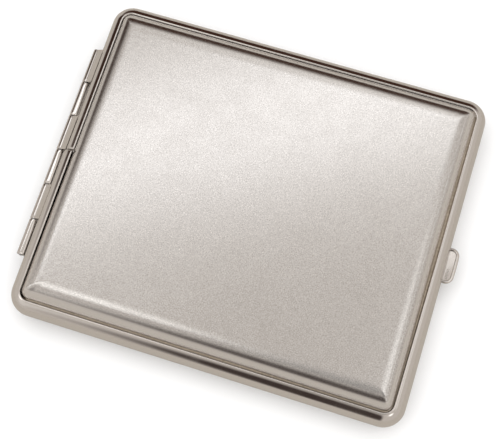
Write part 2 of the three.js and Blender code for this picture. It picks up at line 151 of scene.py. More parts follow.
def new_group(name, inputs, outputs):
    """A shared node group with float inputs, given with their usual values, and float outputs."""
    tree = bpy.data.node_groups.new(name, "ShaderNodeTree")
    for socket, value in inputs.items():
        made = tree.interface.new_socket(socket, in_out="INPUT", socket_type="NodeSocketFloat")
        made.default_value = value
    for socket in outputs:
        tree.interface.new_socket(socket, in_out="OUTPUT", socket_type="NodeSocketFloat")
    return tree, tree.nodes.new("NodeGroupInput"), tree.nodes.new("NodeGroupOutput")


print("node helpers ready")

# %% [markdown]
# Bare metal has little colour of its own, so what it looks like is mostly the room. Real walls and
# windows could be built round the case, but a world colour that depends on direction does the same with
# far less. It is pale all round. Bright patches overhead, at the sides and high behind make the
# highlights. A dim one overhead and warm dark ones low behind, beyond the hinge, in the corner between
# those two and at the front draw the dark lines in the polished frame. Each patch has a colour, the
# direction of its centre, a squeeze that makes it oval, and the two sizes between which it fades. A later
# one lies over an earlier one.

# %% The room
ROOM_PALE = (0.633, 0.586, 0.545, 1)
EVEN = (1.0, 1.0, 1.0)
PATCHES = {
    "overhead_right": ((1.3, 1.27, 1.24, 1), (0.31, 0.09, 0.95), EVEN, 0.06, 0.29),
    "overhead_left": ((2.0, 1.97, 1.93, 1), (-0.24, -0.09, 0.968), EVEN, 0.03, 0.16),
    "front_right": ((1.6, 1.57, 1.53, 1), (0.58, -0.42, 0.7), EVEN, 0.06, 0.2),
    "right_strip": ((0.88, 0.85, 0.81, 1), (0.67, 0.2, 0.71), (1.0, 0.35, 1.0), 0.04, 0.15),
    "front_left": ((0.77, 0.73, 0.69, 1), (-0.5, -0.6, 0.63), EVEN, 0.2, 0.42),
    "left_spot": ((1.7, 1.67, 1.63, 1), (-0.54, -0.22, 0.81), EVEN, 0.06, 0.2),
    "high_behind": ((1.05, 1.01, 0.97, 1), (-0.07, 0.57, 0.82), (0.45, 1.0, 1.0), 0.05, 0.18),
    "overhead_front": ((0.3, 0.29, 0.28, 1), (0.12, -0.22, 0.97), EVEN, 0.08, 0.3),
    "low_behind": ((0.055, 0.026, 0.017, 1), (-0.14, 0.93, 0.33), (0.8, 0.6, 1.3), 0.34, 0.63),
    "beyond_hinge": ((0.045, 0.024, 0.017, 1), (-0.78, 0.4, 0.5), (0.8, 1.4, 0.8), 0.22, 0.39),
    "behind_corner": ((0.055, 0.028, 0.02, 1), (-0.6, 0.73, 0.33), (1.0, 1.0, 1.5), 0.05, 0.24),
    "front": ((0.055, 0.04, 0.036, 1), (0.0, -0.87, 0.49), (2.6, 1.05, 1.05), 0.3, 0.8),
}


def patch_mask(tree, direction, centre, squeeze, inner, outer):
    """A mask of an oval patch of directions: 1 within the inner size, 0 beyond the outer one. The oval
    comes from stretching the direction along each axis before its distance to the centre is taken."""
    stretched = put(tree, "ShaderNodeVectorMath", {0: direction, 1: squeeze}, operation="MULTIPLY")
    middle = Vector(centre).normalized()
    target = [value * factor for value, factor in zip(middle, squeeze)]
    apart = put(
        tree, "ShaderNodeVectorMath", {0: stretched.outputs[0], 1: target}, operation="DISTANCE",
    )
    return spread(tree, apart.outputs["Value"], inner, outer, 1.0, 0.0)


world = bpy.data.worlds.new("room")
bpy.context.scene.world = world
world.use_nodes = True
room = world.node_tree
room.nodes.clear()
looking = put(room, "ShaderNodeTexCoord").outputs["Generated"]
room_colour = ROOM_PALE
for colour, *shape in PATCHES.values():
    room_colour = blend_colour(room, patch_mask(room, looking, *shape), room_colour, colour)
background = put(room, "ShaderNodeBackground", {"Color": room_colour, "Strength": 1.0})
put(room, "ShaderNodeOutputWorld", {"Surface": background.outputs[0]})
print("room with", len(PATCHES), "bright and dark patches")

# %% [markdown]
# A long strip of soft light hangs high behind the case. The satin lid shows it as the slow change from
# bright at the upper left to grey at the lower right. A wide soft light straight above makes the table
# white, and the metal does not mirror it. The floor is a plain white table. In the metal's reflections
# it has a painted shade, darker and warmer than it looks, as it would be further from the lamps.

# %% Soft light and floor
def soft_light(name, spot, along, size, power, colour, mirrored):
    """A rectangular area light at a spot, facing the case, with its long side along a direction. The metal
    mirrors it or not."""
    data = bpy.data.lights.new(name, "AREA")
    data.shape = "RECTANGLE"
    data.size, data.size_y = size
    data.energy = power
    data.color = colour
    light = bpy.data.objects.new(name, data)
    back = Vector(spot).normalized()
    short = back.cross(Vector(along)).normalized()
    turn = Matrix((short.cross(back), short, back)).transposed()
    light.matrix_world = Matrix.Translation(spot) @ turn.to_4x4()
    light.visible_glossy = mirrored
    bpy.context.scene.collection.objects.link(light)


soft_light(
    "main_light", spot=(-0.16, 0.328, 0.93), along=(0.884, 0.468, 0), size=(0.84, 0.13), power=0.41,
    colour=(0.97, 1, 1.04), mirrored=True,
)
soft_light(
    "floor_light", spot=(0, 0, 1.2), along=(1, 0, 0), size=(2.4, 2.4), power=21.0,
    colour=(1, 1, 1), mirrored=False,
)

FLOOR_REACH = 1.5
FLOOR_COLOUR = (0.93, 0.95, 0.97, 1)
FLOOR_MIRRORED_SHADE = (0.46, 0.435, 0.4, 1)
FLOOR_ROUGH = 0.9
FLOOR_SHINE = 0.1
floor_corners = [(x * FLOOR_REACH, y * FLOOR_REACH, 0) for x, y in ((-1, -1), (1, -1), (1, 1), (-1, 1))]
floor_mesh = bpy.data.meshes.new("floor")
floor_mesh.from_pydata(floor_corners, [], [(0, 1, 2, 3)])
floor = bpy.data.objects.new("floor", floor_mesh)
bpy.context.scene.collection.objects.link(floor)
floor_paint, floor_tree, floor_shader = new_material("floor_white")
# Painted shade: rays mirrored by the metal see the floor in a darker, warmer colour than the camera does.
in_mirror = put(floor_tree, "ShaderNodeLightPath").outputs["Is Glossy Ray"]
feed(floor_tree, floor_shader, {
    "Base Color": blend_colour(floor_tree, in_mirror, FLOOR_COLOUR, FLOOR_MIRRORED_SHADE),
    "Roughness": FLOOR_ROUGH, "Specular IOR Level": FLOOR_SHINE,
})
floor_mesh.materials.append(floor_paint)
bpy.context.scene.view_settings.view_transform = "Standard"
print("a strip of light and a wide light over a white floor")

# %% [markdown]
# Two effects are shared by the metals, so each is a node group. Grain is the fine texture of a blasted
# and plated sheet, in which dark pits and bright specks are mixed. Random noise would clump into
# blotches, so both come from cell patterns, whose cells keep their distance from each other. Handling is
# what years in a pocket leave on a polished face: a faint uneven haze and a few hairlines.

# %% Shared surface effects
GRAIN_TURNS = ((0.4, 0.7, 0.3), (0.9, 0.2, 1.1))
CELL_MIDDLE = 0.35
CLOUD_SCALE = 60.0
CLOUD_SHARE = 0.15
HAIRLINE_TURN = (0.2, 0.3, 0.6)
HAIRLINE_SQUEEZE = (1, 14, 14)
HAIRLINE_WIDTH = 0.012


def grain_group():
    """Height is a fine noise. Tone is a half, plus half of one cell pattern and minus half of another, so
    that bright specks and dark pits are mixed evenly. Each pattern grows from 0 at a cell's edge to its
    middle. A slow cloudy noise is mixed in."""
    tree, given, result = new_group("grain", {"Fine": 3000.0, "Pits": 2400.0}, ["Height", "Tone"])
    plain_place = object_place(tree)
    places, patterns = [], []
    for turn in GRAIN_TURNS:
        place = put(tree, "ShaderNodeMapping", {"Vector": plain_place, "Rotation": turn}).outputs[0]
        cells = put(
            tree, "ShaderNodeTexVoronoi", {"Vector": place, "Scale": given.outputs["Pits"]},
            feature="DISTANCE_TO_EDGE",
        )
        places.append(place)
        patterns.append(spread(tree, cells.outputs["Distance"], 0.0, CELL_MIDDLE, 0.0, 0.5))
    mixture = math_node(tree, "ADD", math_node(tree, "SUBTRACT", *patterns), 0.5)
    speckle = math_node(tree, "MULTIPLY", mixture, 1 - CLOUD_SHARE)
    cloud = noise(tree, places[0], CLOUD_SCALE, 4.0)
    slow = math_node(tree, "MULTIPLY", cloud, CLOUD_SHARE)
    fine = noise(tree, places[0], given.outputs["Fine"], 1.0)
    feed(tree, result, {"Height": fine, "Tone": math_node(tree, "ADD", speckle, slow)})
    return tree


def handling_group():
    """Haze is a cloudy noise. Hairlines are the narrow middle band of a noise stretched along one
    direction."""
    usual = {"Haze Size": 180.0, "Hairline Size": 90.0}
    tree, given, result = new_group("handling", usual, ["Haze", "Hairlines"])
    place = object_place(tree)
    haze = noise(tree, place, given.outputs["Haze Size"], 5.0)
    stretched = put(
        tree, "ShaderNodeMapping",
        {"Vector": place, "Rotation": HAIRLINE_TURN, "Scale": HAIRLINE_SQUEEZE},
    )
    lines = noise(tree, stretched.outputs[0], given.outputs["Hairline Size"], 2.0)
    distance = math_node(tree, "ABSOLUTE", math_node(tree, "SUBTRACT", lines, 0.5))
    feed(tree, result, {"Haze": haze, "Hairlines": spread(tree, distance, 0.0, HAIRLINE_WIDTH, 1.0, 0.0)})
    return tree


grain_effect = grain_group()
handling_effect = handling_group()
print("shared effects:", grain_effect.name, handling_effect.name)

# %% [markdown]
# The metals: satin nickel on the outside of the panels, a plainer rolled finish on their inside,
# polished nickel on frames, knuckles and catch, drawn steel for pins and spring, and a dark brown metal
# down in the groove, whose colour is painted shade. All are fully metallic. Grain and handling change
# their colour, roughness and normal over the surface.

# %% Metals
HAZE_RANGE = (0.35, 0.7)
SKIRT_ROUGH = 0.24


def metal(name, colours, rough, grain_sizes, grain_depth, hairline_depth, blasted=None):
    """A metal. The colour runs between two tones with the grain's tone and the roughness between two values
    with the haze. Grain and hairlines are cut into the surface as a bump of their depth in metres. On a
    blasted sheet the grain only comes in between two distances from the parting, and what lies closer
    stays smooth."""
    material, tree, shader = new_material(name)
    fine, pits = grain_sizes
    grain = put(tree, "ShaderNodeGroup", {"Fine": fine, "Pits": pits}, node_tree=grain_effect)
    handling = put(tree, "ShaderNodeGroup", node_tree=handling_effect)
    tone, height = grain.outputs["Tone"], grain.outputs["Height"]
    roughness = spread(tree, handling.outputs["Haze"], *HAZE_RANGE, *rough)
    if blasted:
        place = put(tree, "ShaderNodeSeparateXYZ", {0: object_place(tree)})
        above = math_node(tree, "SUBTRACT", place.outputs["Z"], hinge[2])
        reached = spread(tree, math_node(tree, "ABSOLUTE", above), *blasted, 0.0, 1.0)
        darker = math_node(tree, "MULTIPLY", math_node(tree, "SUBTRACT", tone, 1.0), reached)
        tone = math_node(tree, "ADD", darker, 1.0)
        roughness = spread(tree, reached, 0.0, 1.0, SKIRT_ROUGH, roughness)
        height = math_node(tree, "MULTIPLY", height, reached)
    pitted = put(tree, "ShaderNodeBump", {"Distance": grain_depth, "Height": height})
    scored = put(
        tree, "ShaderNodeBump",
        {"Distance": hairline_depth, "Height": handling.outputs["Hairlines"],
         "Normal": pitted.outputs["Normal"]},
        invert=True,
    )
    feed(tree, shader, {
        "Base Color": blend_colour(tree, tone, (*colours[0], 1), (*colours[1], 1)), "Metallic": 1.0,
        "Roughness": roughness, "Normal": scored.outputs["Normal"],
    })
    return material


satin_nickel = metal(
    "satin_nickel", ((0.54, 0.524, 0.508), (0.84, 0.822, 0.804)), rough=(0.22, 0.24),
    grain_sizes=(3000, 2500), grain_depth=3e-6, hairline_depth=0.1e-6, blasted=(5.6 * MM, 5.85 * MM),
)
inner_nickel = metal(
    "inner_nickel", ((0.7, 0.68, 0.655), (0.72, 0.7, 0.675)), rough=(0.25, 0.28),
    grain_sizes=(2000, 1600), grain_depth=0.1e-6, hairline_depth=0.1e-6,
)
polished_nickel = metal(
    "polished_nickel", ((0.72, 0.69, 0.66), (0.76, 0.73, 0.7)), rough=(0.09, 0.16),
    grain_sizes=(1500, 2400), grain_depth=0.6e-6, hairline_depth=0.5e-6,
)
drawn_steel = metal(
    "drawn_steel", ((0.5, 0.5, 0.51), (0.58, 0.58, 0.58)), rough=(0.22, 0.34),
    grain_sizes=(4000, 2400), grain_depth=2e-6, hairline_depth=1e-6,
)
# Painted shade: the flange down in the groove is coloured dark brown to stand in for the shade there.
groove_tarnish = metal(
    "groove_tarnish", ((0.32, 0.27, 0.21), (0.5, 0.43, 0.345)), rough=(0.35, 0.5),
    grain_sizes=(2500, 1500), grain_depth=3e-6, hairline_depth=0.1e-6,
)
metals = [satin_nickel, inner_nickel, polished_nickel, drawn_steel, groove_tarnish]
print("metals:", [made.name for made in metals])

# %% [markdown]
# Every piece is one or more grids of points. A grid's neighbours are joined into four-sided faces, an
# open end can be closed by one flat face, and the normals are turned outwards at the end. Edges
# sharper than a given angle stay sharp, and everything else is shaded smooth.

# %% Piece helpers
SHARP_EDGE = math.radians(38)


def together(*parts):
    """Points from their coordinates, each spread over the whole grid."""
    return np.stack(np.broadcast_arrays(*parts), axis=-1)


def grid_faces(rows, columns, round_rows, round_columns):
    """Corner numbers of the faces between each point and its neighbours in the next row and column. A
    round direction also joins the last to the first."""
    row = np.arange(rows if round_rows else rows - 1)[:, None]
    column = np.arange(columns if round_columns else columns - 1)[None, :]
    next_row = (row + 1) % rows
    next_column = (column + 1) % columns
    return together(
        row * columns + column, row * columns + next_column,
        next_row * columns + next_column, next_row * columns + column,
    ).reshape(-1, 4)


def shell(points, round_rows=False, round_columns=True, closed_ends=True):
    """One grid with its faces. Closed ends put a flat face on the first and last row, or, where only the
    rows are round, on the first and last column."""
    rows, columns = points.shape[:2]
    faces = grid_faces(rows, columns, round_rows, round_columns).tolist()
    numbers = np.arange(rows * columns).reshape(rows, columns)
    if closed_ends and not round_rows:
        faces += [numbers[0].tolist(), numbers[-1].tolist()]
    elif closed_ends and not round_columns:
        faces += [numbers[:, 0].tolist(), numbers[:, -1].tolist()]
    return points.reshape(-1, 3), faces


def add_piece(name, shells, materials, body, nodes):
    """A finished piece: its shells in one mesh, normals outwards, on a body in place of its nodes."""
    points, faces, start = [], [], 0
    for shell_points, shell_faces in shells:
        points.append(shell_points)
        faces += [[corner + start for corner in face] for face in shell_faces]
        start += len(shell_points)
    mesh = bpy.data.meshes.new(name)
    mesh.from_pydata(np.concatenate(points).tolist(), [], faces)
    work = bmesh.new()
    work.from_mesh(mesh)
    bmesh.ops.recalc_face_normals(work, faces=work.faces)
    work.to_mesh(mesh)
    work.free()
    mesh.polygons.foreach_set("use_smooth", np.ones(len(mesh.polygons), bool))
    mesh.set_sharp_from_angle(angle=SHARP_EDGE)
    for material in materials:
        mesh.materials.append(material)
    piece = bpy.data.objects.new(name, mesh)
    bpy.context.scene.collection.objects.link(piece)
    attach(piece, body)
    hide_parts(*nodes)
    print(name, "faces:", len(mesh.polygons))
    return piece


def arc(centre, radii, start, end, count):
    """Points on an ellipse between two angles in degrees."""
    angle = np.radians(np.linspace(start, end, count))
    return together(centre[0] + radii[0] * np.cos(angle), centre[1] + radii[1] * np.sin(angle))


def curve(start, pull, end, share):
    """Points at shares of the way from start to end, on a curve that is pulled towards a third point."""
    return (1 - share) ** 2 * start + 2 * share * (1 - share) * pull + share ** 2 * end


def second_finish(piece, faces):
    """Gives some of a piece's faces its second material."""
    finish = np.zeros(len(piece.data.polygons), np.int32)
    finish[faces] = 1
    piece.data.polygons.foreach_set("material_index", finish)


print("piece helpers ready")

# %% [markdown]
# Both halves follow one outline, a rounded rectangle. A path of marks goes round it once: each mark knows
# where it lies on its side and which way is outwards. From that, any line that runs a set distance
# inside or outside the outline comes from one formula, so frames and panels fit each other
# everywhere. Marks crowd together at the butt seam and at the catch, where the shape changes quickly.

# %% The outline
frame_low, frame_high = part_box("lid_frame")
base_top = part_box("base_frame")[1].z
panel_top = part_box("lid_panel")[1].z
BEAD_WIDTH = 3.0 * MM
CORNER_RADIUS = 5.2 * MM
SHARPEST_CORNER = 1.1 * MM
SEAM_GAP = 0.3 * MM
STEP = 0.02 * MM
NOTCH_HALF = 2.8 * MM
POCKET_HALF = 3.6 * MM
CORNER_MARKS = 14
ACROSS_MARKS = 26

parting = (frame_low.z + base_top) / 2
groove_half = (frame_high.x - BEAD_WIDTH, frame_high.y - BEAD_WIDTH)
groove_radius = CORNER_RADIUS - BEAD_WIDTH
side_half = groove_half[1] - groove_radius


def outline_path(left, across, right, corner_marks):
    """Marks round a rounded rectangle, from the middle of the hinge side round to it again. Each column
    holds the mark's place along X and Y as a share of the half size, then its outward direction."""
    turn = np.linspace(0, np.pi / 2, corner_marks)

    def marks(share_x, share_y, angle):
        return together(share_x, share_y, np.cos(angle), np.sin(angle))

    return np.concatenate([
        marks(-1.0, -left, np.pi), marks(-1.0, -1.0, np.pi + turn),
        marks(across, -1.0, 1.5 * np.pi), marks(1.0, -1.0, 1.5 * np.pi + turn),
        marks(1.0, right, 0.0), marks(1.0, 1.0, turn),
        marks(-across, 1.0, 0.5 * np.pi), marks(-1.0, 1.0, 0.5 * np.pi + turn),
        marks(-1.0, left[::-1], np.pi),
    ]).T


def round_outline(offset):
    """X and Y of the groove's line moved outwards by an offset: each mark's share of the half size less the
    corner radius, plus that radius times the outward direction. The radius grows with the offset."""
    corner = np.maximum(groove_radius + offset, SHARPEST_CORNER)
    x = case_path[0] * (groove_half[0] + offset - corner) + corner * case_path[2]
    y = case_path[1] * (groove_half[1] + offset - corner) + corner * case_path[3]
    return x, y


from_seam = np.array([0.15, 0.17, 0.2, 0.25, 0.32, 0.42, 0.6, 1, 2, 4, 7, 11, 16, 22, 29]) * MM
catch_marks = np.array([0, 1.4, 2.8, 2.82, 3.6, 3.62, 5, 9, 15, 22, 29]) * MM
catch_shares = np.concatenate([-catch_marks[:0:-1], catch_marks]) / side_half
across_shares = np.linspace(-1, 1, ACROSS_MARKS)[1:-1]
case_path = outline_path(from_seam / side_half, across_shares, catch_shares, CORNER_MARKS)
at_catch = np.where(case_path[2] == 1.0, np.abs(case_path[1]) * side_half, np.inf)
print("outline marks:", case_path.shape[1])

# %% [markdown]
# Each frame is a bead of hollow section on a flat land, rolled from one strip and butted together in
# the middle of the hinge side. The section is a quarter ellipse outside, with a small round at the
# groove and at the parting, and it is carried round the outline. Where the lever of the catch passes,
# the section changes to a lower wall, and at the seam it shrinks a little, as a filed end does. On the
# catch side and at the front the groove is wider, and a flange shows in it, coloured dark brown as
# painted shade. At the hinge and the back the flange lies deeper.

# %% Frames
GROOVE_ROUND = 0.25 * MM
BEAD_CENTRE = -0.25 * MM
PARTING_ROUND = 0.25 * MM
BEAD_WALL = 0.7 * MM
LAND_WALL = 0.6 * MM
LAND_LIP = -0.34 * MM
LAND_ROUND = 0.1 * MM
THIN_WALL = 0.12 * MM
GROOVE_WIDER = {
    "catch": (0.12, 0.42, 0.4), "front": (0.1, 0.1, 0.1),
    "hinge": (0.22, 0.12, 0.12), "back": (0.12, 0.12, 0.12),
}
PANEL_INSET = {"catch": (0, 0.17, -0.08), "front": (0.35, 0.42, 0.3)}
FLANGE_INNER = 0.12 * MM
FLANGE_FOLLOWS = 0.85
FLANGE_SLOT = 0.17 * MM
FLANGE_DEPTHS = np.array([0.4, 0.68]) * MM
FLANGE_SUNK = 1.5 * MM
LAND_MARKS = 4
PARTING_MARKS = 5
OUTER_MARKS = 25
GROOVE_MARKS = 8
INNER_MARKS = 12
POCKET_EDGE = 1.98 * MM
NOTCH_EDGE = 2.03 * MM
NOTCH_FOOT = 1.5 * MM
SEAM_FILED = 0.07
SEAM_FILED_LENGTH = 0.35 * MM
SEAM_SPINE = np.array([1.0, 1.6]) * MM
SEAM_STEP = {"lid": (0.17 * MM, -0.1 * MM), "base": (-0.05 * MM, 0.06 * MM)}
SEAM_STEP_LENGTH = 38 * MM

land_face = frame_low.z - parting
bead_height = frame_high.z - parting
bead_reach_in = BEAD_WIDTH - BEAD_CENTRE
crest_height = bead_height / math.sqrt(1 - ((GROOVE_ROUND - BEAD_CENTRE) / bead_reach_in) ** 2)
outer_start = LAND_MARKS + PARTING_MARKS
groove_end = outer_start + OUTER_MARKS + GROOVE_MARKS
towards = {"catch": case_path[2], "front": -case_path[3], "hinge": -case_path[2], "back": case_path[3]}
side_share = {side: np.clip(part, 0, 1) ** 2 for side, part in towards.items()}


def by_side(widths):
    """A width for each mark, from three widths along each side, in millimetres. In the corners the two
    sides are mixed by the square of the outward direction's part that points to each."""
    place = {"catch": case_path[1], "front": case_path[0], "hinge": case_path[1], "back": case_path[0]}
    return MM * sum(
        side_share[side] * np.interp(place[side], [-1, 0, 1], three) for side, three in widths.items()
    )


groove_wider = by_side(GROOVE_WIDER)
panel_inset = by_side(PANEL_INSET)


def bead_section(land_edge, foot, land_wall):
    """Offsets and heights round the bead's section: the land's rounded inner edge, the rounded parting
    edge, the outer quarter ellipse, the round into the groove, and the inner quarter ellipse back to
    the land."""
    edge_height = foot + PARTING_ROUND
    start = math.degrees(math.asin(edge_height / crest_height))
    end = math.degrees(math.acos((GROOVE_ROUND - BEAD_CENTRE) / bead_reach_in))
    parting_reach = BEAD_CENTRE + bead_reach_in * math.cos(math.radians(start))
    inner_radii = (BEAD_WIDTH - BEAD_WALL, bead_height - BEAD_WALL)
    inner_end = math.degrees(math.asin((foot + land_wall) / inner_radii[1]))
    edge = min(LAND_ROUND, land_wall / 2)
    parting_centre = (parting_reach - PARTING_ROUND, edge_height)
    groove_centre = (GROOVE_ROUND, bead_height - GROOVE_ROUND)
    return np.concatenate([
        arc((land_edge + edge, foot + edge), (edge, edge), 180, 270, LAND_MARKS),
        arc(parting_centre, (PARTING_ROUND, PARTING_ROUND), -90, 0, PARTING_MARKS + 1)[:-1],
        arc((BEAD_CENTRE, 0), (bead_reach_in, crest_height), start, end, OUTER_MARKS + 1)[:-1],
        arc(groove_centre, (GROOVE_ROUND, GROOVE_ROUND), 80, 180, GROOVE_MARKS),
        arc((0, 0), inner_radii, 90, inner_end, INNER_MARKS),
        [[land_edge, foot + land_wall]],
    ])


def frame_points(sections, choice, half_name, up):
    """The frame's grid: at each mark one of the sections, shrunk towards its spine near the seam and moved
    across a little where the two ends do not quite meet, then carried round the outline. The bead's inner
    edge lies further out where the groove is wider."""
    chosen = np.stack(sections)[choice].transpose(1, 0, 2).copy()
    over_bead = chosen[outer_start:groove_end, :, 0]
    over_bead += groove_wider * (1 - over_bead / BEAD_WIDTH)
    along = np.where(case_path[2] == -1.0, case_path[1] * side_half, np.inf)
    near = np.clip(1 - (np.abs(along) - SEAM_GAP / 2) / SEAM_FILED_LENGTH, 0, 1)
    size = 1 - SEAM_FILED * near ** 2
    shaped = SEAM_SPINE + (chosen - SEAM_SPINE) * size[None, :, None]
    below, above = SEAM_STEP[half_name]
    fade = np.clip(1 - np.abs(along) / SEAM_STEP_LENGTH, 0, 1)
    step = np.where(along < 0, below, above) * fade
    return together(*round_outline(shaped[..., 0] + step), parting + up * shaped[..., 1])


def flange_points(up):
    """A flat ring down in the groove: a rectangle whose outer side keeps a slot's width from the bead's
    inner edge and whose inner side follows the panel's rim, carried round the outline. At the hinge and
    the back it lies deeper."""
    inner = -FLANGE_INNER - FLANGE_FOLLOWS * panel_inset
    outer = groove_wider - FLANGE_SLOT
    ring = np.stack([inner, outer, outer, inner])
    sunk = FLANGE_SUNK * (side_share["hinge"] + side_share["back"])
    depth = np.repeat(FLANGE_DEPTHS, 2)[:, None] + sunk
    return together(*round_outline(ring), parting + up * (bead_height - depth))


plain_section = bead_section(LAND_LIP, land_face, LAND_WALL)
pocket_section = bead_section(POCKET_EDGE, land_face, LAND_WALL)
notch_section = bead_section(NOTCH_EDGE, NOTCH_FOOT, THIN_WALL)
in_notch = at_catch < NOTCH_HALF + STEP / 2
in_pocket = at_catch < POCKET_HALF + STEP / 2
lid_choice = np.where(in_notch, 1, 0)
base_choice = np.where(in_notch, 2, np.where(in_pocket, 1, 0))
sections = [plain_section, pocket_section, notch_section]
for half_name, choice, up in (("lid", lid_choice, 1), ("base", base_choice, -1)):
    points = frame_points(sections, choice, half_name, up)
    flange = shell(flange_points(up), round_rows=True)
    bead = add_piece(
        f"{half_name}_bead", [shell(points, round_rows=True, round_columns=False), flange],
        [polished_nickel, groove_tarnish], half_name, [f"{half_name}_frame"],
    )
    # The flange takes the dark brown painted shade.
    second_finish(bead, slice(-len(flange[1]), None))

# %% [markdown]
# Each panel is one pressed sheet: a wall that stands in the frame, a rolled shoulder and a flat field. The
# section runs from the inside field over the wall's edge to the outside field. The shoulder rises steeply
# at the groove and dies out slowly into the field. The lid's wall has a notch where the hook of the
# catch comes through to its keeper.

# %% Panels
GROOVE = 0.06 * MM
WALL_FOOT = 0.4 * MM
PANEL_WALL = 0.5 * MM
PANEL_SLACK = np.array([0.12, 0.02]) * MM
PANEL_SHIFT = np.array([-0.02, 0.06]) * MM
SHOULDER_WIDTH = 3.6 * MM
CROWN_FOOT = 0.25 * MM
CROWN_PLACES = np.array([0, 0.6, 1.2, 1.5, 1.7, 2.0, 2.35, 2.8, 3.3, 3.9, 4.5, 5.1, 5.5]) * MM
CROWN_TILTS = np.radians([60, 58, 56, 51, 42, 34, 25.5, 17, 11, 7, 3.5, 1, 0])
WALL_EDGE = 0.2 * MM
NOTCH_TOP = 2.05 * MM
FIELD_RING = 8 * MM
SIDE_NARROWER = 0.22
SHOULDER_MARKS = 22
EDGE_MARKS = 8
CROWN_MARKS = 60

field_outside = panel_top - parting
shoulder_rise = field_outside - bead_height
shoulder_centre = (-WALL_FOOT - SHOULDER_WIDTH, bead_height)
inner_radii = (SHOULDER_WIDTH - PANEL_WALL, shoulder_rise - PANEL_WALL)
inside_rows = SHOULDER_MARKS + EDGE_MARKS // 2 + 1


def crown():
    """Offsets and heights over the outer shoulder. The tilt at each place comes from a list of tilts, steep
    in the skirt and slowly dying out in the crown, and the height is the running sum of its slope, scaled
    to the whole rise."""
    inwards = np.linspace(0, CROWN_PLACES[-1], CROWN_MARKS)
    slope = np.tan(np.interp(inwards, CROWN_PLACES, CROWN_TILTS))
    climb = np.concatenate([[0], np.cumsum((slope[1:] + slope[:-1]) / 2)])
    rise = shoulder_rise + CROWN_FOOT
    return together(-GROOVE - inwards, bead_height - CROWN_FOOT + rise * climb / climb[-1])


def panel_section(edge):
    """Offsets and heights over the sheet: inside field, inner shoulder, the wall's rounded edge at the
    given height, outer shoulder, outside field."""
    lip = PANEL_WALL / 2
    field = shoulder_centre[0] - FIELD_RING
    return np.concatenate([
        [[field, field_outside - PANEL_WALL]],
        arc(shoulder_centre, inner_radii, 90, 0, SHOULDER_MARKS),
        arc((-WALL_FOOT - lip, edge + lip), (lip, lip), 180, 360, EDGE_MARKS),
        crown(),
        [[field, field_outside]],
    ])


def panel_points(sections, choice, up):
    """The panel's grid: at each mark one of the sections, carried round the outline. The shoulder is set in
    from the groove, and its outside is scaled by a factor that depends on the outward direction. From
    hinge to catch the panel is a little narrower than its frame."""
    chosen = np.stack(sections)[choice].transpose(1, 0, 2)
    scale = 1 - SIDE_NARROWER * case_path[2] ** 2
    offset = chosen[..., 0].copy()
    offset[:SHOULDER_MARKS + 1] -= panel_inset
    offset[inside_rows:] = -GROOVE - panel_inset + (offset[inside_rows:] + GROOVE) * scale
    x, y = round_outline(offset)
    narrower = np.interp(y, [-groove_half[1], groove_half[1]], PANEL_SLACK) / groove_half[0]
    x = x * (1 - narrower) + PANEL_SHIFT[0]
    return together(x, y + PANEL_SHIFT[1], parting + up * chosen[..., 1])


panel_sections = [panel_section(WALL_EDGE), panel_section(NOTCH_TOP)]
for half_name, choice, up in (("lid", lid_choice, 1), ("base", 0 * lid_choice, -1)):
    points = panel_points(panel_sections, choice, up)
    panel = add_piece(
        f"{half_name}_sheet", [shell(points)], [satin_nickel, inner_nickel],
        half_name, [f"{half_name}_panel"],
    )
    second_finish(panel, np.r_[:inside_rows * case_path.shape[1], -2])

# %% [markdown]
# The hinge has six rolled knuckles on one pin, taken in turn by lid and base. A knuckle's section is a
# round barrel with a leaf that slopes up the side of its own frame. Towards the other half the barrel is
# pressed a little flat, more at one end than at the other, and its two ends are eased. The bore
# goes right through, so the grid is closed both ways, like a ring.

# %% Knuckles
KNUCKLE_RADIUS = 0.97 * MM
BORE_RADIUS = 0.62 * MM
LEAF_TOP = 2.15 * MM
LEAF_FOOT_ANGLE = 20
LEAF_CLEARANCE = 0.03 * MM
BARREL_TOP_ANGLE = 80
BARREL_MARKS = 48
FLAT_POWERS = (6.0, 2.2)
END_ROUND = 0.12 * MM
EASE_MARKS = 5
KNUCKLE_ROWS = 12
LEAF_MARKS = 14
SLOPE_MARKS = 16
SLOPE_PULL = np.array([0.12, 0.035]) * MM


def bead_reach(height):
    """How far out from the groove the bead's outside lies at a height, from the ellipse."""
    return BEAD_CENTRE + bead_reach_in * np.sqrt(1 - (height / crest_height) ** 2)


def barrel_section(power):
    """The barrel's outside as distances from the axis: round, except in the quarter that faces the other
    half, where it follows a curve between a circle and a square. A power of 2 is the circle, and a higher
    power is squarer."""
    angle = np.radians(np.linspace(BARREL_TOP_ANGLE, 360 + LEAF_FOOT_ANGLE, BARREL_MARKS))[None, :]
    facing = (angle > 1.5 * np.pi) & (angle < 2 * np.pi)
    power = np.where(facing, power[:, None], 2.0)
    sum_of_powers = np.abs(np.cos(angle)) ** power + np.abs(np.sin(angle)) ** power
    radius = KNUCKLE_RADIUS * sum_of_powers ** (-1 / power)
    return together(radius * np.cos(angle), radius * np.sin(angle))


def leaf_section(start, end):
    """The leaf from the barrel's end to its start: up the side of the bead, then a slope back to the barrel
    with a tight curve at its foot."""
    heights = np.linspace(end[1], LEAF_TOP, LEAF_MARKS)
    axis_offset = -hinge[0] - groove_half[0]
    against = together(axis_offset - bead_reach(heights) - LEAF_CLEARANCE, heights)
    share = np.linspace(0, 1, SLOPE_MARKS)[1:-1, None]
    return np.concatenate([against, curve(against[-1], start + SLOPE_PULL, start, share)])


